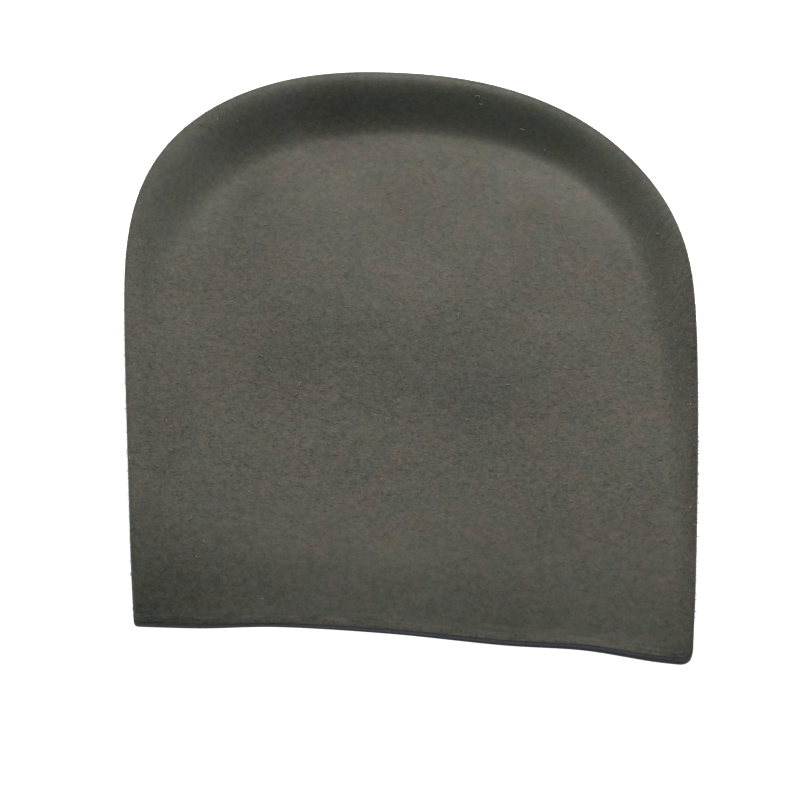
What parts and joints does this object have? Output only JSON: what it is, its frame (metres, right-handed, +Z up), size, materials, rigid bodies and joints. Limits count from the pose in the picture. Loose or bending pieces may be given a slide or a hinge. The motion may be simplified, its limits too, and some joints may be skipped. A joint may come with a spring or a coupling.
{
  "type": "gel heel pad",
  "caption": "Dished heel pad for the inside of a shoe: a tapered gel body with a raised rim round the heel, under a napped cloth cover.",
  "frame": {"origin": "middle of the pad's box, on the flat underside", "axes": "+Y towards the rounded heel end, -Y towards the straight front edge, +Z up out of the dish, +X to the right for a viewer in front of the straight edge who looks along +Y, as in the picture"},
  "size_m": [0.064, 0.08, 0.0105],
  "materials": {
    "gel": "satin, dark navy, slightly tacky gel",
    "cover_cloth": "matt napped suede-like cloth, mottled grey-brown"
  },
  "bodies": {
    "root": {"gel_base": "gel", "top_cover": "cover_cloth"}
  },
  "joints": []
}
